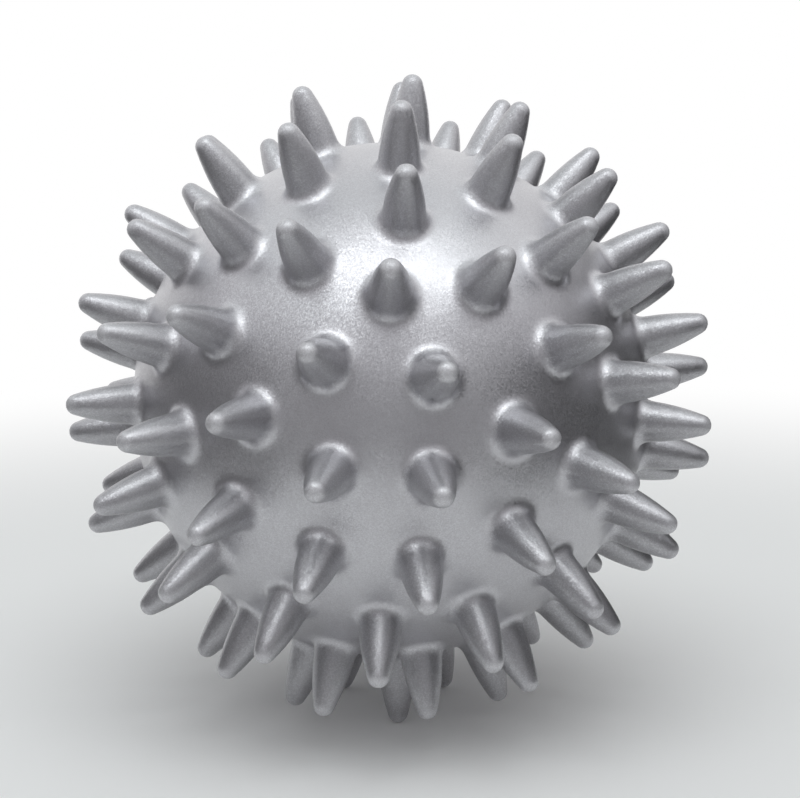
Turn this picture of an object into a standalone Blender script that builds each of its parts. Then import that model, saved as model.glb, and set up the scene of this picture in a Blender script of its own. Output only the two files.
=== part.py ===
# Spiky massage ball: a hollow moulded skin that carries its spikes, a valve sleeve
# bonded into the skin, and a plug that pulls out of the sleeve to let air in or out.
# Metres, +Z up. The ball stands on three spike tips, on the plane z = 0.
# Everything is built about the ball's pole axis, then turned to its resting place.

import math

import bmesh
import bpy
from mathutils import Matrix, Vector

# Skin
BODY_DIAMETER = 0.0710
SKIN_WALL = 0.0022
HOLLOW_SEGMENTS = 24
HOLLOW_RINGS = 14

# Spikes
SPIKE_HEIGHT = 0.0095
SPIKE_BASE_DIAMETER = 0.0056
SPIKE_TIP_DIAMETER = 0.00265
SPIKE_TIP_CROWN = 0.00097
SPIKE_BULGE = 0.0003
SPIKE_FOOT_FLARE = 0.0011
SPIKE_FOOT_HEIGHT = 0.0010
SPIKE_SIDES = 8

# Rows of spikes, from the front pole to the rear pole, with one spike on the front pole
ROW_STEP = math.radians(18)
ROW_COUNTS = (5, 11, 15, 18, 20, 18, 15, 11, 5)
ROW_TURNS = (63.7, 29.7, 19.1, 17.9, 6.4, 1.4, 0.7, 29.7, 63.7)

# The three spikes that the ball stands on, each as row and place in the row
FEET = ((6, 9), (7, 7), (7, 8))

# Valve, on the rear pole
FIT_CLEARANCE = 0.0003
VALVE_LAND = 0.0006
FOOT_TO_PAD_GAP = 0.0003
FLANGE_DIAMETER = 0.0120
FLANGE_THICKNESS = 0.0012
SLEEVE_DIAMETER = 0.0090
SLEEVE_LENGTH = 0.0115
SLEEVE_BORE = 0.0046
NECK_WALL = 0.0016
NECK_LENGTH = 0.0085
PLUG_HEAD_DIAMETER = 0.0066
PLUG_HEAD_THICKNESS = 0.0011
PLUG_SHANK_LENGTH = 0.0098
PLUG_TIP_DIAMETER = 0.0028
PLUG_RIB_HEIGHT = 0.0002
PLUG_RIB_SLOPE = 0.0004
PLUG_RIB_COUNT = 3
PLUG_RIB_PITCH = 0.0022
PLUG_FIRST_RIB = 0.0016
EDGE_ROUND = 0.0003
VALVE_SIDES = 24

# Worked out from the sizes above
BODY_RADIUS = BODY_DIAMETER / 2
TIP_RADIUS = BODY_RADIUS + SPIKE_HEIGHT
FOOT_RADIUS = SPIKE_BASE_DIAMETER / 2 + SPIKE_FOOT_FLARE
RECESS_RADIUS = FLANGE_DIAMETER / 2 + FIT_CLEARANCE
PAD_RADIUS = RECESS_RADIUS + VALVE_LAND
VALVE_FACE = math.sqrt(BODY_RADIUS**2 - PAD_RADIUS**2)
NECK_BORE_RADIUS = SLEEVE_DIAMETER / 2 + FIT_CLEARANCE
SHANK_RADIUS = SLEEVE_BORE / 2 - FIT_CLEARANCE
SEAT_RADIUS = PLUG_HEAD_DIAMETER / 2 + FIT_CLEARANCE
SEAT_DEPTH = PLUG_HEAD_THICKNESS + FIT_CLEARANCE


def clear_scene():
    for thing in list(bpy.data.objects):
        bpy.data.objects.remove(thing, do_unlink=True)


def material(name, colour, roughness, metallic):
    made = bpy.data.materials.new(name)
    made.use_nodes = True
    shader = made.node_tree.nodes["Principled BSDF"]
    shader.inputs["Base Color"].default_value = (*colour, 1)
    shader.inputs["Roughness"].default_value = roughness
    shader.inputs["Metallic"].default_value = metallic
    made.diffuse_color = (*colour, 1)
    return made


def add_object(name, bm, parent, finish=None):
    mesh = bpy.data.meshes.new(name)
    bmesh.ops.recalc_face_normals(bm, faces=bm.faces)
    bm.to_mesh(mesh)
    bm.free()
    mesh.shade_smooth()
    mesh.set_sharp_from_angle(angle=math.radians(40))
    made = bpy.data.objects.new(name, mesh)
    if finish:
        mesh.materials.append(finish)
    made.parent = parent
    bpy.context.scene.collection.objects.link(made)
    return made


def add_cutter(name, bm, parent):
    made = add_object(name, bm, parent)
    made.hide_render = True
    made.display_type = "WIRE"
    return made


def add_boolean(target, cutter, operation):
    change = target.modifiers.new(cutter.name, "BOOLEAN")
    change.operation = operation
    change.solver = "EXACT"
    change.object = cutter


def turned(profile, sides):
    # An outline of (radius, height) points spun round Z; it starts and ends on the axis, or is closed
    bm = bmesh.new()
    verts = [bm.verts.new((radius, 0, height)) for radius, height in profile]
    edges = [bm.edges.new(pair) for pair in zip(verts, verts[1:])]
    if profile[0][0] > 0:
        edges.append(bm.edges.new((verts[-1], verts[0])))
    bmesh.ops.spin(
        bm, geom=verts + edges, cent=(0, 0, 0), axis=(0, 0, 1),
        angle=math.tau, steps=sides, use_merge=True,
    )
    bmesh.ops.remove_doubles(bm, verts=bm.verts, dist=1e-7)
    return bm


def spike_radius(height):
    # Half the spike's width at a height over the skin, between its foot and its tip's shoulder
    base = SPIKE_BASE_DIAMETER / 2
    tip = SPIKE_TIP_DIAMETER / 2
    share = height / (SPIKE_HEIGHT - SPIKE_TIP_CROWN)
    return base + (tip - base) * share + 4 * SPIKE_BULGE * share * (1 - share)


def spike_levels():
    # (radius, height over the skin) of each ring above the foot; the tip closes the last one
    shoulder = SPIKE_HEIGHT - SPIKE_TIP_CROWN
    middle = (shoulder + SPIKE_FOOT_HEIGHT) / 2
    return [(spike_radius(height), height) for height in (SPIKE_FOOT_HEIGHT, middle, shoulder)]


def row_angles():
    # Angle of each row from the front pole; the last row keeps its feet off the valve's pad
    angles = [row * ROW_STEP for row in range(1, len(ROW_COUNTS) + 1)]
    pad = math.asin(PAD_RADIUS / BODY_RADIUS)
    foot = math.asin(FOOT_RADIUS / BODY_RADIUS)
    room = pad + foot + FOOT_TO_PAD_GAP / BODY_RADIUS
    return angles[:-1] + [math.pi - max(math.pi - angles[-1], room)]


def spike_directions():
    # One list of unit vectors for each row; row 0 is the single spike on the front pole
    rows = [[Vector((0, 0, 1))]]
    for polar, count, turn in zip(row_angles(), ROW_COUNTS, ROW_TURNS):
        turns = [math.radians(turn) + math.tau * place / count for place in range(count)]
        rows.append([
            Vector((math.sin(polar) * math.cos(a), math.sin(polar) * math.sin(a), math.cos(polar)))
            for a in turns
        ])
    return rows


def resting_frame(rows):
    # Stands the ball on its three feet, with the front pole turned towards -Y
    feet = [rows[row][place] for row, place in FEET]
    up = (feet[1] - feet[0]).cross(feet[2] - feet[0]).normalized()
    if up.dot(feet[0]) > 0:
        up.negate()
    pole = rows[0][0]
    back = -(pole - pole.dot(up) * up).normalized()
    right = back.cross(up)
    turn = Matrix((right, back, up)).to_4x4()
    tip_ball = SPIKE_TIP_DIAMETER / 2
    height = -(TIP_RADIUS - tip_ball) * up.dot(feet[0]) + tip_ball
    return Matrix.Translation((0, 0, height)) @ turn


def circle_on_body(bm, direction, radius, sides):
    # Vertices of a circle drawn on the body's surface round a direction
    across = direction.orthogonal().normalized()
    along = direction.cross(across)
    centre = direction * math.sqrt(BODY_RADIUS**2 - radius**2)
    turns = [math.tau * side / sides for side in range(sides)]
    return [bm.verts.new(centre + radius * (math.cos(a) * across + math.sin(a) * along)) for a in turns]


def raise_spike(bm, direction, foot):
    # Extrudes the open foot up through the spike's rings and closes it at the tip
    edges = [edge for edge in bm.edges if edge.is_boundary and set(edge.verts) <= foot]
    for radius, height in spike_levels():
        grown = bmesh.ops.extrude_edge_only(bm, edges=edges)["geom"]
        edges = [item for item in grown if isinstance(item, bmesh.types.BMEdge)]
        ring = [item for item in grown if isinstance(item, bmesh.types.BMVert)]
        for vert in ring:
            side = (vert.co - vert.co.dot(direction) * direction).normalized()
            vert.co = direction * (BODY_RADIUS + height) + side * radius
    cap = bmesh.ops.edgeloop_fill(bm, edges=edges)["faces"]
    point = bmesh.ops.poke(bm, faces=cap)["verts"]
    point[0].co = direction * TIP_RADIUS


def make_neck(parent):
    # Thick collar on the inside of the skin that the valve sleeve is bonded into
    radius = NECK_BORE_RADIUS + NECK_WALL
    top = BODY_RADIUS - SKIN_WALL / 2
    end = -VALVE_FACE + NECK_LENGTH
    outline = [(0, -top), (radius, -top), (radius, end), (0, end)]
    return add_cutter("neck", turned(outline, VALVE_SIDES), parent)


def make_valve_hole(parent):
    # Room for the sleeve: a shallow recess for its flange and a bore for its tube
    floor = -VALVE_FACE + FLANGE_THICKNESS + FIT_CLEARANCE
    end = -VALVE_FACE + NECK_LENGTH + NECK_WALL
    outside = -BODY_RADIUS - NECK_WALL
    outline = [
        (0, outside), (RECESS_RADIUS, outside), (RECESS_RADIUS, floor),
        (NECK_BORE_RADIUS, floor), (NECK_BORE_RADIUS, end), (0, end),
    ]
    return add_cutter("valve_hole", turned(outline, VALVE_SIDES), parent)


def make_skin(rows, parent, finish):
    # The body is the hull of the spikes' feet and the valve's pad, all circles on one sphere
    bm = bmesh.new()
    directions = [direction for row in rows for direction in row]
    feet = [set(circle_on_body(bm, direction, FOOT_RADIUS, SPIKE_SIDES)) for direction in directions]
    circle_on_body(bm, -rows[0][0], PAD_RADIUS, VALVE_SIDES)
    bmesh.ops.convex_hull(bm, input=bm.verts)
    foot_of = {vert: place for place, foot in enumerate(feet) for vert in foot}
    covers = [[foot_of.get(vert) for vert in face.verts] for face in bm.faces]
    inside = [face for face, on in zip(bm.faces, covers) if on[0] is not None and len(set(on)) == 1]
    bmesh.ops.delete(bm, geom=inside, context="FACES")
    for direction, foot in zip(directions, feet):
        raise_spike(bm, direction, foot)
    skin = add_object("ball_skin", bm, parent, finish)

    inner = bmesh.new()
    bmesh.ops.create_uvsphere(
        inner, u_segments=HOLLOW_SEGMENTS, v_segments=HOLLOW_RINGS, radius=BODY_RADIUS - SKIN_WALL,
    )
    add_boolean(skin, add_cutter("hollow", inner, parent), "DIFFERENCE")
    add_boolean(skin, make_neck(parent), "UNION")
    add_boolean(skin, make_valve_hole(parent), "DIFFERENCE")
    return skin


def make_sleeve(parent, finish):
    # Heights run from the flange's outer face, which lies flush with the skin, to the air space
    rim = FLANGE_DIAMETER / 2
    tube = SLEEVE_DIAMETER / 2
    bore = SLEEVE_BORE / 2
    outline = [
        (SEAT_RADIUS, 0), (rim - EDGE_ROUND, 0), (rim, EDGE_ROUND), (rim, FLANGE_THICKNESS),
        (tube, FLANGE_THICKNESS), (tube, SLEEVE_LENGTH - EDGE_ROUND), (tube - EDGE_ROUND, SLEEVE_LENGTH),
        (bore, SLEEVE_LENGTH), (bore, SEAT_DEPTH), (SEAT_RADIUS, SEAT_DEPTH),
    ]
    sleeve = add_object("valve_sleeve", turned(outline, VALVE_SIDES), parent, finish)
    sleeve.location = (0, 0, -VALVE_FACE)
    return sleeve


def make_plug(parent, finish):
    # A flat head, a shank with low sealing ribs, and a taper that finds the bore
    head = PLUG_HEAD_DIAMETER / 2
    end = PLUG_HEAD_THICKNESS + PLUG_SHANK_LENGTH
    core = SHANK_RADIUS - PLUG_RIB_HEIGHT
    outline = [
        (0, 0), (head - EDGE_ROUND, 0), (head, EDGE_ROUND),
        (head, PLUG_HEAD_THICKNESS), (core, PLUG_HEAD_THICKNESS),
    ]
    for rib in range(PLUG_RIB_COUNT):
        middle = PLUG_HEAD_THICKNESS + PLUG_FIRST_RIB + rib * PLUG_RIB_PITCH
        before, after = middle - PLUG_RIB_SLOPE, middle + PLUG_RIB_SLOPE
        outline += [(core, before), (SHANK_RADIUS, middle), (core, after)]
    tip = PLUG_TIP_DIAMETER / 2
    outline += [(tip, end - EDGE_ROUND), (tip - EDGE_ROUND, end), (0, end)]
    plug = add_object("valve_plug", turned(outline, VALVE_SIDES), parent, finish)
    plug.location = (0, 0, -VALVE_FACE)
    return plug


def main():
    clear_scene()
    rows = spike_directions()
    centre = bpy.data.objects.new("ball_centre", None)
    bpy.context.scene.collection.objects.link(centre)
    centre.matrix_world = resting_frame(rows)

    silver = material("silver_pvc", (0.42, 0.43, 0.44), 0.34, 0.55)
    soft_grey = material("valve_grey", (0.34, 0.35, 0.36), 0.45, 0.1)
    plug_grey = material("plug_grey", (0.50, 0.51, 0.52), 0.4, 0.1)
    make_skin(rows, centre, silver)
    make_sleeve(centre, soft_grey)
    make_plug(centre, plug_grey)


main()
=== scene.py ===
import math
import random

import bmesh
import bpy
from mathutils import Matrix, Vector


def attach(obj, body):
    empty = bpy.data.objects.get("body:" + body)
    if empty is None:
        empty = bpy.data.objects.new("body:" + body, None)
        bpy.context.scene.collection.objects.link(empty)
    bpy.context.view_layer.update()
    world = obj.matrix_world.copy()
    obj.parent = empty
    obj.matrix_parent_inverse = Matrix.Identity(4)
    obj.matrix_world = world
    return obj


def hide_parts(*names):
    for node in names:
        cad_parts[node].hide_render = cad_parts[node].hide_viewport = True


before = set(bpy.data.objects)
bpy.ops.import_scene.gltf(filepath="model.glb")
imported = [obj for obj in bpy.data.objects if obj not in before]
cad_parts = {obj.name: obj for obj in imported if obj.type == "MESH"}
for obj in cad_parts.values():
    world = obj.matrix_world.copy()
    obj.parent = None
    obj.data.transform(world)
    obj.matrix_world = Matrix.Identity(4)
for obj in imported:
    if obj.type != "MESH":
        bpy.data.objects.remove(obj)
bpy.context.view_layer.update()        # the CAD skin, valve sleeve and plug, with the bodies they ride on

print("frame loaded:", sorted(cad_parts))


# The ball as the CAD has it: where its spikes point and how it stands. Lengths are in metres.

ball = {
    "bodyRadius": 0.0355,
    "wall": 0.0022,
    "rowStep": 18,                # degrees from one row of spikes to the next
    "rowCounts": (5, 11, 15, 18, 20, 18, 15, 11, 5),
    "rowTurns": (63.7, 29.7, 19.1, 17.9, 6.4, 1.4, 0.7, 29.7, 63.7),      # degrees
    "feet": ((6, 9), (7, 7), (7, 8)),      # row and place of the spikes it stands on
    "tipRadius": 0.045,           # from the centre to a spike's tip
    "tipRoundness": 0.001325,
}


def spikeDirections():
    # the first spike points along Z, and the rows follow it down to the valve's side
    pole = Vector((0, 0, 1))
    rows = [[pole]]
    for row, (count, turn) in enumerate(zip(ball["rowCounts"], ball["rowTurns"]), start=1):
        polar = math.radians(row * ball["rowStep"])
        ring = Matrix.Rotation(polar, 3, "Y") @ pole
        step = math.tau / count
        start = math.radians(turn)
        rows.append([Matrix.Rotation(start + place * step, 3, "Z") @ ring for place in range(count)])
    return rows


def restingFrame(rows):
    # turns and lifts the ball so that its three feet touch the floor
    feet = [rows[row][place] for row, place in ball["feet"]]
    up = (feet[1] - feet[0]).cross(feet[2] - feet[0]).normalized()
    if up.dot(feet[0]) > 0:
        up.negate()
    pole = rows[0][0]
    back = -(pole - pole.dot(up) * up).normalized()
    right = back.cross(up)
    rounding = ball["tipRoundness"]
    height = -(ball["tipRadius"] - rounding) * up.dot(feet[0]) + rounding
    return Matrix.Translation((0, 0, height)) @ Matrix((right, back, up)).to_4x4()


spikeRows = spikeDirections()
standing = restingFrame(spikeRows)
centre = standing.translation
print("ball centre", [round(value, 5) for value in centre], "spikes", sum(len(row) for row in spikeRows))


# Shader wires: a socket that can be added, multiplied and so on in a plain expression

class Wire:
    def __init__(self, tree, socket):
        self.tree = tree
        self.socket = socket

    def node(self, kind, settings, links, output=0):
        made = self.tree.nodes.new(kind)
        for name, value in settings.items():
            setattr(made, name, value)
        for name, value in links.items():
            if isinstance(value, Wire):
                self.tree.links.new(value.socket, made.inputs[name])
            else:
                made.inputs[name].default_value = value
        return Wire(self.tree, made.outputs[output])

    def maths(self, operation, first, second):
        return self.node("ShaderNodeMath", {"operation": operation}, {0: first, 1: second})

    def __add__(self, other):
        return self.maths("ADD", self, other)

    def __radd__(self, other):
        return self.maths("ADD", other, self)

    def __sub__(self, other):
        return self.maths("SUBTRACT", self, other)

    def __rsub__(self, other):
        return self.maths("SUBTRACT", other, self)

    def __mul__(self, other):
        return self.maths("MULTIPLY", self, other)

    def __rmul__(self, other):
        return self.maths("MULTIPLY", other, self)

    def around(self, amount):
        # a pattern from 0 to 1 as a swing of this amount about nothing
        return (self - 0.5) * amount

    def ramp(self, low, high, first=0, last=1):
        # a smooth step from one value to another
        settings = {"interpolation_type": "SMOOTHSTEP"}
        links = {"Value": self, "From Min": low, "From Max": high, "To Min": first, "To Max": last}
        return self.node("ShaderNodeMapRange", settings, links)

    def noise(self, scale, detail=2, roughness=0.5):
        links = {"Vector": self, "Scale": scale, "Detail": detail, "Roughness": roughness}
        return self.node("ShaderNodeTexNoise", {}, links)

    def fromTo(self, dark, pale):
        # the first colour where this is 0, the second where it is 1
        return self.node("ShaderNodeMix", {"data_type": "RGBA"}, {0: self, 6: dark, 7: pale}, output=2)

    def mixing(self, first, second):
        # the same for two shaders
        return self.node("ShaderNodeMixShader", {}, {0: self, 1: first, 2: second})

    def vector(self, operation, other=None, output=0):
        links = {0: self} if other is None else {0: self, 1: other}
        return self.node("ShaderNodeVectorMath", {"operation": operation}, links, output)

    def scaled(self, factor):
        # a colour or vector times a number
        return self.node("ShaderNodeVectorMath", {"operation": "SCALE"}, {0: self, "Scale": factor})

    def length(self):
        return self.vector("LENGTH", output=1)

    def glow(self, colour):
        # light of one colour, as strong as this is
        lit = self.node("ShaderNodeVectorMath", {"operation": "SCALE"}, {0: colour, "Scale": self})
        return self.node("ShaderNodeEmission", {}, {"Color": lit, "Strength": 1.0})


white = (1, 1, 1, 1)
tint = {"warmGreen": 0.6, "warmBlue": 0.3}      # what warmth takes off the green and adds to the blue


def grey(level, warmth=0.0, blue=0.0):
    # a near-neutral colour; warmth over 0 leans to purple-brown, under 0 to a cool green
    green = level * (1 - tint["warmGreen"] * warmth)
    return (level * (1 + warmth), green, level * (1 + tint["warmBlue"] * warmth + blue), 1)


def darkAndPale(level, finish):
    # the two ends of a finish's shades, each given as a share of the level, warmth and blue
    ends = []
    for share, warmth, blue in (finish["darkest"], finish["palest"]):
        ends.append(grey(level * share, warmth, blue))
    return ends


def bareMaterial(name):
    # also gives the node tree and a point's place as a wire
    made = bpy.data.materials.new(name)
    made.use_nodes = True
    tree = made.node_tree
    return made, tree, Wire(tree, tree.nodes.new("ShaderNodeTexCoord").outputs["Object"])


def newMaterial(name, **constants):
    # also gives the shader and a point's place measured from the ball's centre
    made, tree, place = bareMaterial(name)
    shader = tree.nodes["Principled BSDF"]
    for socket, value in constants.items():
        shader.inputs[socket.replace("_", " ")].default_value = value
    return made, shader, place.node("ShaderNodeMapping", {}, {"Vector": place, "Location": -centre})


def connect(shader, **wires):
    for socket, wire in wires.items():
        wire.tree.links.new(wire.socket, shader.inputs[socket.replace("_", " ")])


def toSurface(tree, wire, output="Material Output"):
    tree.links.new(wire.socket, tree.nodes[output].inputs["Surface"])


# Finish of the skin: pearl flakes in soft silver-grey plastic. A zone is a pair of heights over
# the round body, between which it sets in.

pearl = {
    "spikeZone": (0.00004, 0.0007),
    "sideZone": (0.0003, 0.0018),
    "tipZone": (0.0080, 0.0094),
    "level": 0.565,              # grey of the pearl pigment
    "darkest": (0.78, 0.02, 0.04),
    "palest": (1.22, -0.005, 0.04),
    "flakeContrast": 0.4,        # what each pattern adds to the shade
    "grainContrast": 0.5,
    "mottleContrast": 0.4,
    "streakContrast": 0.1,
    "spikePaintedShade": 0.84,          # painted shade: the spikes' sides are painted darker than the body, standing in for the shade they get
    "tipClearing": 0.7,          # the painted shade eases off at their tips
    "metallic": 0.96,
    "flakeMetallic": 0.15,
    "tipMetallic": 0.45,         # taken off at the tips
    "roughness": 0.44,
    "spikeRoughness": 0.05,      # added on the spikes, and the next one at their tips
    "tipRoughness": 0.05,
    "grainRoughness": 0.12,
    "coat": 0.26,
    "spikeCoat": 0.1,
    "coatRoughness": 0.22,
    "coatIor": 1.6,
    "flakeSize": 0.00013,
    "flakeTilt": 0.155,
    "spikeTilt": 0.3,            # share that the spikes add to it
    "brightFlakes": (0.6, 0.9),  # number of a flake, 0 to 1, from which it sparkles a little and fully
    "brightShade": 0.15,         # what those add to the shade of the spikes
    "brightRoughness": 0.06,     # and take off the roughness
    "grainPerFlake": 0.7,
    "grainBreakup": 0.6,
    "grainDepth": 0.000003,
    "mottleSize": 0.011,
    "streaks": 110,              # cells over the ball, drawn out up the spikes' sides
    "streakDepth": 0.15,         # share of the grain's
}


def pearlFinish():
    made, shader, local = newMaterial(
        "pearlPvc", Coat_Roughness=pearl["coatRoughness"], Coat_IOR=pearl["coatIor"],
    )
    height = local.length() - ball["bodyRadius"]
    onSpike = height.ramp(*pearl["spikeZone"])
    tip = height.ramp(*pearl["tipZone"])
    # painted shade mask: the spikes' sides, less at their tips
    side = height.ramp(*pearl["sideZone"]) * (1 - tip * pearl["tipClearing"])

    flakeScale = 1 / pearl["flakeSize"]
    flakes = local.node("ShaderNodeTexVoronoi", {}, {"Vector": local, "Scale": flakeScale}, output=1)
    flakeShade = flakes.node("ShaderNodeSeparateColor", {}, {"Color": flakes})
    brightFlake = flakeShade.ramp(*pearl["brightFlakes"])
    grain = local.noise(pearl["grainPerFlake"] / pearl["flakeSize"], roughness=pearl["grainBreakup"])
    mottle = local.noise(1 / pearl["mottleSize"], detail=3)
    streaks = local.vector("NORMALIZE").noise(pearl["streaks"])

    shade = 0.5 + flakeShade.around(pearl["flakeContrast"]) + grain.around(pearl["grainContrast"])
    shade = shade + mottle.around(pearl["mottleContrast"])
    shade = shade + brightFlake * onSpike * pearl["brightShade"]
    shade = shade + (streaks - 0.5) * onSpike * pearl["streakContrast"]
    colour = shade.fromTo(*darkAndPale(pearl["level"], pearl))
    # painted shade: the spikes' sides are darkened here
    colour = colour.scaled(1 - side * (1 - pearl["spikePaintedShade"]))

    # every flake lies at its own slight angle, which makes the fine sparkle
    facing = local.node("ShaderNodeNewGeometry", {}, {}, output="Normal")
    tilt = flakes.vector("SUBTRACT", (0.5, 0.5, 0.5))
    tilt = tilt.scaled(pearl["flakeTilt"] * (1 + onSpike * pearl["spikeTilt"]))
    tilted = facing.vector("ADD", tilt).vector("NORMALIZE")
    relief = grain + (streaks - 0.5) * onSpike * pearl["streakDepth"]
    bump = local.node("ShaderNodeBump", {}, {
        "Height": relief, "Distance": pearl["grainDepth"], "Strength": 1.0, "Normal": tilted,
    })

    roughness = pearl["roughness"] + onSpike * pearl["spikeRoughness"] + tip * pearl["tipRoughness"]
    roughness = roughness + grain.around(pearl["grainRoughness"]) - brightFlake * pearl["brightRoughness"]
    metal = pearl["metallic"] + flakeShade.around(pearl["flakeMetallic"]) - tip * pearl["tipMetallic"]
    coat = pearl["coat"] + onSpike * pearl["spikeCoat"]
    connect(shader, Base_Color=colour, Roughness=roughness, Metallic=metal, Coat_Weight=coat, Normal=bump)
    return made


# Finishes of the valve: plainer soft plastic, cloudy and finely grained

valvePvc = {
    "sleeve": {"level": 0.40, "roughness": 0.42, "metallic": 0.25},
    "plug": {"level": 0.52, "roughness": 0.36, "metallic": 0.15},
    "darkest": (0.86, 0.02, 0.03),
    "palest": (1.12, 0.0, 0.04),
    "clouds": 260,               # cells in a metre
    "cloudContrast": 0.6,
    "grain": 3800,
    "grainBreakup": 0.6,
    "grainContrast": 0.4,
    "grainRoughness": 0.2,
    "grainMetallic": 0.1,
    "grainDepth": 0.00001,
    "bumpStrength": 0.8,
    "coat": 0.15,
    "coatRoughness": 0.25,
}


def valveFinish(name):
    values = valvePvc[name]
    made, shader, local = newMaterial(
        name + "Pvc", Coat_Weight=valvePvc["coat"], Coat_Roughness=valvePvc["coatRoughness"],
    )
    cloud = local.noise(valvePvc["clouds"], detail=3)
    grain = local.noise(valvePvc["grain"], roughness=valvePvc["grainBreakup"])
    shade = 0.5 + cloud.around(valvePvc["cloudContrast"]) + grain.around(valvePvc["grainContrast"])
    colour = shade.fromTo(*darkAndPale(values["level"], valvePvc))
    roughness = values["roughness"] + grain.around(valvePvc["grainRoughness"])
    metal = values["metallic"] + grain.around(valvePvc["grainMetallic"])
    bump = local.node("ShaderNodeBump", {}, {
        "Height": grain, "Distance": valvePvc["grainDepth"], "Strength": valvePvc["bumpStrength"],
    })
    connect(shader, Base_Color=colour, Roughness=roughness, Metallic=metal, Normal=bump)
    return made


# Shared mesh steps

meshing = {
    "weld": 1e-7,            # points closer than this become one
    "sharpFrom": 38,         # degrees between two faces from which their edge shades sharp
    "cornerShare": 0.3,      # how near a rounded edge passes its corner, as a share of its radius
}


def spun(outline, sides):
    # an outline of (radius, height) points turned round Z; closed if it doesn't start on the axis
    mesh = bmesh.new()
    verts = [mesh.verts.new((radius, 0, height)) for radius, height in outline]
    edges = [mesh.edges.new(pair) for pair in zip(verts, verts[1:])]
    if outline[0][0] > 0 and outline[-1][0] > 0:
        edges.append(mesh.edges.new((verts[-1], verts[0])))
    bmesh.ops.spin(
        mesh, geom=verts + edges, cent=(0, 0, 0), axis=(0, 0, 1),
        angle=math.tau, steps=sides, use_merge=True,
    )
    bmesh.ops.remove_doubles(mesh, verts=mesh.verts, dist=meshing["weld"])
    return mesh


def asData(name, mesh):
    data = bpy.data.meshes.new(name)
    mesh.to_mesh(data)
    mesh.free()
    return data


def intoScene(name, data):
    made = bpy.data.objects.new(name, data)
    bpy.context.scene.collection.objects.link(made)
    return made


def finishedPiece(name, mesh, finish, node, body):
    # closes a piece: out of the ball's own frame into the world, normals out, material, frame calls
    mesh.transform(standing)
    bmesh.ops.recalc_face_normals(mesh, faces=mesh.faces)
    data = asData(name, mesh)
    data.shade_smooth()
    data.set_sharp_from_angle(angle=math.radians(meshing["sharpFrom"]))
    data.materials.append(finish)
    piece = intoScene(name, data)
    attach(piece, body)
    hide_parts(node)
    print(name, "triangles", sum(len(face.vertices) - 2 for face in data.polygons))


# Spikes

spike = {
    "height": 0.0095,
    "baseDiameter": 0.0056,
    "tipDiameter": 0.00265,
    "crown": 0.00097,       # height of the rounded tip over its shoulder
    "bulge": 0.0003,        # how far the side swells halfway up
    "footRadius": 0.0045,   # outer edge of the fillet, on the skin
    "lastFoot": 0.0040,     # the same beside the valve
    "filletTop": 0.0017,
    "filletPull": 0.45,     # reach of the fillet's handles, as a share of its length
    "sides": 24,
    "filletRings": 7,
    "sideRings": 5,
    "tipRings": 4,
    "lean": 0.00022,        # how far a tip may wander sideways
    "leanSpread": 0.5,      # most wander about this share of it
    "leanPower": 1.6,       # over 1, the lean gathers towards the tip
    "shortest": 0.975,
    "seed": 11,
}


def spikeRadius(height):
    base = spike["baseDiameter"] / 2
    tip = spike["tipDiameter"] / 2
    share = height / (spike["height"] - spike["crown"])
    return base + (tip - base) * share + 4 * spike["bulge"] * share * (1 - share)


def spikeOutline(foot):
    # from the fillet's outer edge, tangent to the skin, up the side and over the tip
    body = ball["bodyRadius"]
    start = Vector((foot, math.sqrt(body**2 - foot**2)))
    alongSkin = Vector((-start.y, start.x)).normalized()
    top = spike["filletTop"]
    end = Vector((spikeRadius(top), body + top))
    step = 0.0001
    slope = (spikeRadius(top + step) - spikeRadius(top - step)) / (2 * step)
    downSide = Vector((-slope, -1)).normalized()
    reach = (end - start).length * spike["filletPull"]
    handles = (start + alongSkin * reach, end + downSide * reach)
    points = []
    for ring in range(spike["filletRings"]):
        t = ring / spike["filletRings"]
        lower = (1 - t)**3 * start + 3 * (1 - t)**2 * t * handles[0]
        points.append(lower + 3 * (1 - t) * t**2 * handles[1] + t**3 * end)
    shoulder = spike["height"] - spike["crown"]
    for ring in range(spike["sideRings"] + 1):
        height = top + (shoulder - top) * ring / spike["sideRings"]
        points.append(Vector((spikeRadius(height), body + height)))
    # the tip is the cap of a ball, as wide as the shoulder and as high as the crown
    edge = spike["tipDiameter"] / 2
    rounding = (edge**2 + spike["crown"]**2) / (2 * spike["crown"])
    sweep = math.asin(edge / rounding)
    for ring in range(1, spike["tipRings"] + 1):
        angle = sweep * (1 - ring / spike["tipRings"])
        height = body + spike["height"] - rounding + rounding * math.cos(angle)
        points.append(Vector((rounding * math.sin(angle), height)))
    points[-1].x = 0
    return [tuple(point) for point in points]


def addSpike(mesh, pattern, direction, chance, straight):
    # one copy of the pattern, with its own slight lean and length, and its foot left as it is
    first = len(mesh.verts)
    mesh.from_mesh(pattern)
    mesh.verts.ensure_lookup_table()
    added = mesh.verts[first:]
    spin = Matrix.Rotation(chance.uniform(0, math.tau), 4, "Z")
    lean = Vector((chance.gauss(0, spike["leanSpread"]), chance.gauss(0, spike["leanSpread"]), 0))
    lean = lean / max(1, lean.length) * (0 if straight else spike["lean"])
    length = 1 if straight else chance.uniform(spike["shortest"], 1)
    for vert in added:
        height = vert.co.z - ball["bodyRadius"]
        if height > 0:
            share = height / spike["height"]
            vert.co += lean * share**spike["leanPower"]
            vert.co.z = ball["bodyRadius"] + height * (1 + (length - 1) * share)
    turn = direction.to_track_quat("Z", "Y").to_matrix().to_4x4() @ spin
    bmesh.ops.transform(mesh, matrix=turn, verts=added)


# Ball skin: spikes first, then the inside, then the round body that joins all their rims

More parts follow.
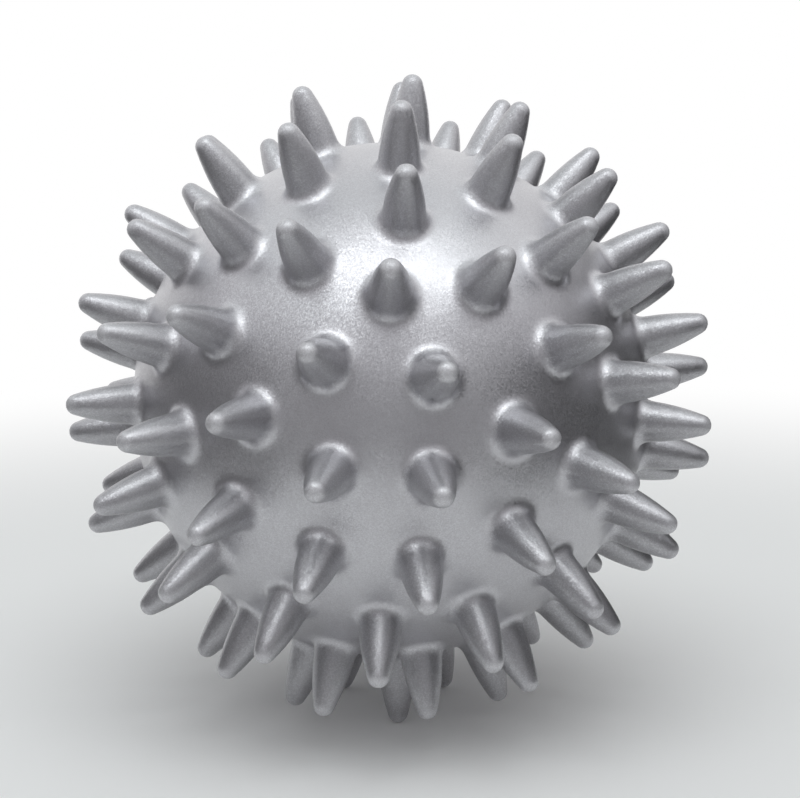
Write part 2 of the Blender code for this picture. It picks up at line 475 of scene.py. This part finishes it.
skin = {
    "bodyDetail": 6,          # subdivisions of the points between the spikes
    "footMargin": 0.0005,     # bare strip between a fillet's edge and the next point
    "sides": 48,              # round the valve and the hollow
    "padRadius": 0.0069,      # flat ring round the valve
    "recessRadius": 0.0063,
    "recessDepth": 0.0015,
    "boreRadius": 0.0048,
    "neckWall": 0.0016,
    "neckLength": 0.0085,
    "edgeRound": 0.00015,
    "hollowRings": 22,
}


def bodyPoints(directions):
    # loose points of the bare body, kept clear of the spikes' feet and of the valve's pad
    mesh = bmesh.new()
    body = ball["bodyRadius"]
    bmesh.ops.create_icosphere(mesh, subdivisions=skin["bodyDetail"], radius=body)
    bmesh.ops.delete(mesh, geom=mesh.edges[:], context="EDGES_FACES")
    feetReach = math.cos((spike["footRadius"] + skin["footMargin"]) / body)
    padReach = math.cos((skin["padRadius"] + skin["footMargin"]) / body)
    covered = []
    for vert in mesh.verts:
        way = vert.co.normalized()
        if -way.z > padReach or any(way.dot(direction) > feetReach for direction in directions):
            covered.append(vert)
    bmesh.ops.delete(mesh, geom=covered, context="VERTS")
    return asData("bodyPoints", mesh)


def insideOutline():
    # the pad round the valve, the recess, the neck and the hollow up to its far side
    body, pad = ball["bodyRadius"], skin["padRadius"]
    face = -math.sqrt(body**2 - pad**2)
    recess, edge, bore = skin["recessRadius"], skin["edgeRound"], skin["boreRadius"]
    floor, end = face + skin["recessDepth"], face + skin["neckLength"]
    neck = bore + skin["neckWall"]
    inner = body - ball["wall"]
    outline = [
        (pad, face), (recess + edge, face), (recess, face + edge), (recess, floor),
        (bore, floor), (bore, end - edge), (bore + edge, end), (neck - edge, end), (neck, end - edge),
    ]
    start = math.asin(neck / inner)
    for ring in range(skin["hollowRings"] + 1):
        angle = start + (math.pi - start) * ring / skin["hollowRings"]
        outline.append((inner * math.sin(angle), -inner * math.cos(angle)))
    outline[-1] = (0, inner)
    return outline


def makeSkin():
    chance = random.Random(spike["seed"])
    directions = [direction for row in spikeRows for direction in row]
    feet = [spikeRows[row][place] for row, place in ball["feet"]]
    pattern = asData("spikePattern", spun(spikeOutline(spike["footRadius"]), spike["sides"]))
    lastPattern = asData("lastSpikePattern", spun(spikeOutline(spike["lastFoot"]), spike["sides"]))
    inside = asData("insidePattern", spun(insideOutline(), skin["sides"]))
    points = bodyPoints(directions)
    mesh = bmesh.new()
    mesh.from_mesh(points)
    starts = []
    for way in directions:
        starts.append(len(mesh.verts))
        addSpike(mesh, lastPattern if way in spikeRows[-1] else pattern, way, chance, way in feet)
    starts.append(len(mesh.verts))
    mesh.from_mesh(inside)
    for spent in (pattern, lastPattern, inside, points):
        bpy.data.meshes.remove(spent)

    # the hull of the rims and the loose points is the body; its flat lids over the rims go again
    mesh.verts.ensure_lookup_table()
    ends = starts[1:] + [len(mesh.verts)]
    rimOf = {}
    for number, (first, last) in enumerate(zip(starts, ends)):
        for vert in mesh.verts[first:last]:
            if vert.is_boundary:
                rimOf[vert] = number
    loose = mesh.verts[:starts[0]]
    made = bmesh.ops.convex_hull(mesh, input=list(rimOf) + loose, use_existing_faces=False)["geom"]
    faces = [item for item in made if isinstance(item, bmesh.types.BMFace)]
    touched = [{rimOf.get(vert, -1) for vert in face.verts} for face in faces]
    lids = [face for face, rims in zip(faces, touched) if len(rims) == 1 and -1 not in rims]
    bmesh.ops.delete(mesh, geom=lids, context="FACES")
    print("open edges", sum(len(edge.link_faces) != 2 for edge in mesh.edges))
    finishedPiece("ballSkin", mesh, pearlFinish(), "ball_skin", "ball")


makeSkin()


# Valve sleeve: flange flush with the skin, seat for the plug's head, tube into the hollow

sleeve = {
    "face": 0.034823,          # from the ball's centre to the flange's outer side
    "flangeRadius": 0.0060,
    "flangeThickness": 0.0012,
    "tubeRadius": 0.0045,
    "length": 0.0115,
    "boreRadius": 0.0023,
    "seatRadius": 0.0036,
    "seatDepth": 0.0014,
    "edge": 0.00025,
    "grooveRadius": 0.0049,
    "grooveDepth": 0.00018,
    "sides": 72,
}


def makeSleeve():
    edge, groove, deep = sleeve["edge"], sleeve["grooveRadius"], sleeve["grooveDepth"]
    corner = edge * meshing["cornerShare"]
    flange, thick = sleeve["flangeRadius"], sleeve["flangeThickness"]
    tube, end = sleeve["tubeRadius"], sleeve["length"]
    bore, seat, floor = sleeve["boreRadius"], sleeve["seatRadius"], sleeve["seatDepth"]
    outline = [
        (seat + edge, 0), (groove - deep, 0), (groove, deep), (groove + deep, 0),
        (flange - edge, 0), (flange - corner, corner), (flange, edge), (flange, thick),
        (tube, thick), (tube, end - edge), (tube - edge, end), (bore + edge, end),
        (bore, end - edge), (bore, floor + edge), (bore + edge, floor), (seat, floor),
        (seat, edge), (seat + corner, corner),
    ]
    mesh = spun(outline, sleeve["sides"])
    mesh.transform(Matrix.Translation((0, 0, -sleeve["face"])))
    finishedPiece("valveSleeve", mesh, valveFinish("sleeve"), "valve_sleeve", "ball")


makeSleeve()


# Valve plug: dished head, ribbed shank, rounded end

plug = {
    "headRadius": 0.0033,
    "headThickness": 0.0011,
    "headChamfer": 0.6,        # under the head, as a share of the edge's rounding
    "shankRadius": 0.0020,
    "shankLength": 0.0098,
    "endRadius": 0.0014,
    "edge": 0.00025,
    "ribs": 3,
    "firstRib": 0.0016,
    "ribPitch": 0.0022,
    "ribHalf": 0.0004,
    "ribHeight": 0.0002,
    "ribSink": 0.00005,        # keeps the crests inside the CAD shank
    "crestShare": 0.3,         # flat share of a rib
    "dishRadius": 0.0018,
    "dishDepth": 0.0003,
    "dishCurve": ((0, 1), (0.55, 0.8), (0.9, 0.25), (1, 0)),      # shares of its radius and depth
    "sides": 72,
}


def makePlug():
    head, edge, thick = plug["headRadius"], plug["edge"], plug["headThickness"]
    corner, chamfer = edge * meshing["cornerShare"], edge * plug["headChamfer"]
    core, end = plug["shankRadius"] - plug["ribHeight"], plug["headThickness"] + plug["shankLength"]
    crest, half = plug["shankRadius"] - plug["ribSink"], plug["ribHalf"]
    flat = half * plug["crestShare"]
    outline = [(plug["dishRadius"] * out, plug["dishDepth"] * deep) for out, deep in plug["dishCurve"]]
    outline += [
        (head - edge, 0), (head - corner, corner), (head, edge),
        (head, thick - chamfer), (head - chamfer, thick), (core + edge, thick), (core, thick + edge),
    ]
    for rib in range(plug["ribs"]):
        middle = thick + plug["firstRib"] + rib * plug["ribPitch"]
        outline += [
            (core, middle - half), (crest, middle - flat), (crest, middle + flat), (core, middle + half),
        ]
    tip = plug["endRadius"]
    outline += [(tip, end - edge), (tip - corner, end - corner), (tip - edge, end), (0, end)]
    mesh = spun(outline, plug["sides"])
    mesh.transform(Matrix.Translation((0, 0, -sleeve["face"])))
    finishedPiece("valvePlug", mesh, valveFinish("plug"), "valve_plug", "plug")


makePlug()


# Studio: pale floor, white surroundings, a soft lamp and a wide panel overhead, and low walls round
# the ball that only its gloss shows

studio = {
    "floorGrey": 0.88,
    "floorRoughness": 0.7,
    "floorRadius": 6,
    "floorSides": 96,
    "whiteFrom": 0.10,       # from the ball to where the floor starts to fade to white
    "whiteTo": 0.30,
    "worldLevel": 0.47,
    "lampPlace": (0.0, -0.245, 0.58),
    "lampWidth": 0.66,
    "lampDepth": 0.28,
    "lampPower": 1.18,
    "lampColour": (0.97, 1.0, 1.005),
    "panelPlace": (-0.08, -0.13, 0.66),
    "panelRadius": 0.66,
    "panelSides": 64,
    "panelMiddle": 0.58,     # light in its middle and at its rim
    "panelRim": 1.0,
    "panelColour": (0.965, 1.0, 1.005),
    "wallColour": (1.0, 0.985, 1.02),
    "wallSteps": 24,
    "wallFade": 0.8,         # share of its height from which a wall fades out
    "walls": {
        # angles in degrees from +X, light at the foot and at the top, height where it starts to rise
        "frontWall": {
            "first": -126, "last": -54, "distance": 0.15, "height": 0.21,
            "foot": 0.25, "top": 0.90, "riseFrom": 0.045,
        },
        "rightWall": {
            "first": -54, "last": -4, "distance": 0.11, "height": 0.145,
            "foot": 0.05, "top": 0.90, "riseFrom": 0.05,
        },
        "rightRearWall": {
            "first": -4, "last": 44, "distance": 0.11, "height": 0.15,
            "foot": 0.03, "top": 0.75, "riseFrom": 0.08,
        },
        "leftWall": {
            "first": -200, "last": -126, "distance": 0.11, "height": 0.145,
            "foot": 0.12, "top": 0.95, "riseFrom": 0.057,
        },
    },
}


def seenDirectly(tree):
    # 1 for rays that should meet the white background: the camera's, mirrored and refracted ones
    rays = tree.nodes.new("ShaderNodeLightPath")
    camera = Wire(tree, rays.outputs["Is Camera Ray"])
    mirrored = Wire(tree, rays.outputs["Is Glossy Ray"])
    through = Wire(tree, rays.outputs["Is Transmission Ray"])
    return camera.maths("MAXIMUM", camera.maths("MAXIMUM", camera, mirrored), through)


def makeFloor():
    mesh = bmesh.new()
    bmesh.ops.create_circle(
        mesh, cap_ends=True, segments=studio["floorSides"], radius=studio["floorRadius"],
    )
    data = asData("floor", mesh)
    made, tree, place = bareMaterial("paleFloor")
    shader = tree.nodes["Principled BSDF"]
    shader.inputs["Base Color"].default_value = grey(studio["floorGrey"])
    shader.inputs["Roughness"].default_value = studio["floorRoughness"]
    shader.inputs["Specular IOR Level"].default_value = 0    # matt, so the walls leave no mark on it
    fade = place.length().ramp(studio["whiteFrom"], studio["whiteTo"])
    bright = place.node("ShaderNodeEmission", {}, {"Color": white, "Strength": 1.0})
    faded = (fade * seenDirectly(tree)).mixing(Wire(tree, shader.outputs[0]), bright)
    toSurface(tree, faded)
    data.materials.append(made)
    intoScene("floor", data)


def makeWorld():
    world = bpy.data.worlds.new("studio")
    bpy.context.scene.world = world
    world.use_nodes = True
    tree = world.node_tree
    soft = tree.nodes["Background"]
    soft.inputs["Color"].default_value = white
    soft.inputs["Strength"].default_value = studio["worldLevel"]
    dim = Wire(tree, soft.outputs[0])
    bright = dim.node("ShaderNodeBackground", {}, {"Color": white, "Strength": 1.0})
    toSurface(tree, seenDirectly(tree).mixing(dim, bright), "World Output")


def makeLamp():
    lamp = bpy.data.lights.new("softbox", "AREA")
    lamp.shape = "ELLIPSE"
    lamp.size = studio["lampWidth"]
    lamp.size_y = studio["lampDepth"]
    lamp.energy = studio["lampPower"]
    lamp.color = studio["lampColour"]
    made = intoScene("softbox", lamp)
    made.location = studio["lampPlace"]
    made.rotation_euler = (centre - made.location).to_track_quat("-Z", "Y").to_euler()


def makePanel():
    mesh = bmesh.new()
    bmesh.ops.create_circle(
        mesh, cap_ends=True, segments=studio["panelSides"], radius=studio["panelRadius"],
    )
    data = asData("panel", mesh)
    made, tree, place = bareMaterial("panelLight")
    level = place.length().ramp(0, studio["panelRadius"], studio["panelMiddle"], studio["panelRim"])
    toSurface(tree, level.glow(studio["panelColour"]))
    data.materials.append(made)
    panel = intoScene("panel", data)
    panel.location = studio["panelPlace"]
    panel.rotation_euler = (centre - panel.location).to_track_quat("Z", "Y").to_euler()
    panel.visible_camera = False


def makeWall(name, wall):
    # upright and curved, out of the camera's sight, dim at its foot and bright at the top
    mesh = bmesh.new()
    turn = Matrix.Rotation(math.radians(wall["first"]), 3, "Z")
    foot = mesh.verts.new(turn @ Vector((wall["distance"], 0, 0)))
    head = mesh.verts.new(foot.co + Vector((0, 0, wall["height"])))
    edge = mesh.edges.new((foot, head))
    bmesh.ops.spin(
        mesh, geom=[foot, head, edge], cent=(0, 0, 0), axis=(0, 0, 1),
        angle=math.radians(wall["last"] - wall["first"]), steps=studio["wallSteps"], use_merge=False,
    )
    data = asData(name, mesh)
    made, tree, place = bareMaterial(name)
    upward = place.node("ShaderNodeSeparateXYZ", {}, {"Vector": place}, output="Z")
    level = upward.ramp(wall["riseFrom"], wall["height"], wall["foot"], wall["top"])
    clear = place.node("ShaderNodeBsdfTransparent", {}, {})
    fade = upward.ramp(wall["height"] * studio["wallFade"], wall["height"])
    toSurface(tree, fade.mixing(level.glow(studio["wallColour"]), clear))
    data.materials.append(made)
    upright = intoScene(name, data)
    upright.visible_camera = False
    upright.visible_diffuse = False      # only the gloss shows it
    upright.visible_shadow = False


view = {
    "sensorWidth": 36,
    "focalLength": 72.3,
    "nearest": 0.01,
    "distance": 0.225,         # from the ball's centre
    "right": (0.99993, -0.00607, -0.0106),
    "up": (0.01147, 0.16844, 0.98564),
    "back": (-0.0042, -0.98569, 0.1685),
    "pixelsAside": 9.4,        # the ball sits slightly left of the picture's middle
    "focalPixels": 1606,
}


def makeCamera():
    lens = bpy.data.cameras.new("camera")
    lens.sensor_width = view["sensorWidth"]
    lens.lens = view["focalLength"]
    lens.clip_start = view["nearest"]
    right, up, back = (Vector(view[way]) for way in ("right", "up", "back"))
    aside = math.atan(view["pixelsAside"] / view["focalPixels"])
    place = centre + back * view["distance"]
    turn = Matrix((right, up, back)).transposed() @ Matrix.Rotation(-aside, 3, "Y")
    camera = intoScene("camera", lens)
    camera.matrix_world = Matrix.Translation(place) @ turn.to_4x4()
    bpy.context.scene.camera = camera


makeFloor()
makeWorld()
makeLamp()
makePanel()
for name, values in studio["walls"].items():
    makeWall(name, values)
makeCamera()
bpy.context.scene.view_settings.view_transform = "Standard"
print("studio ready")
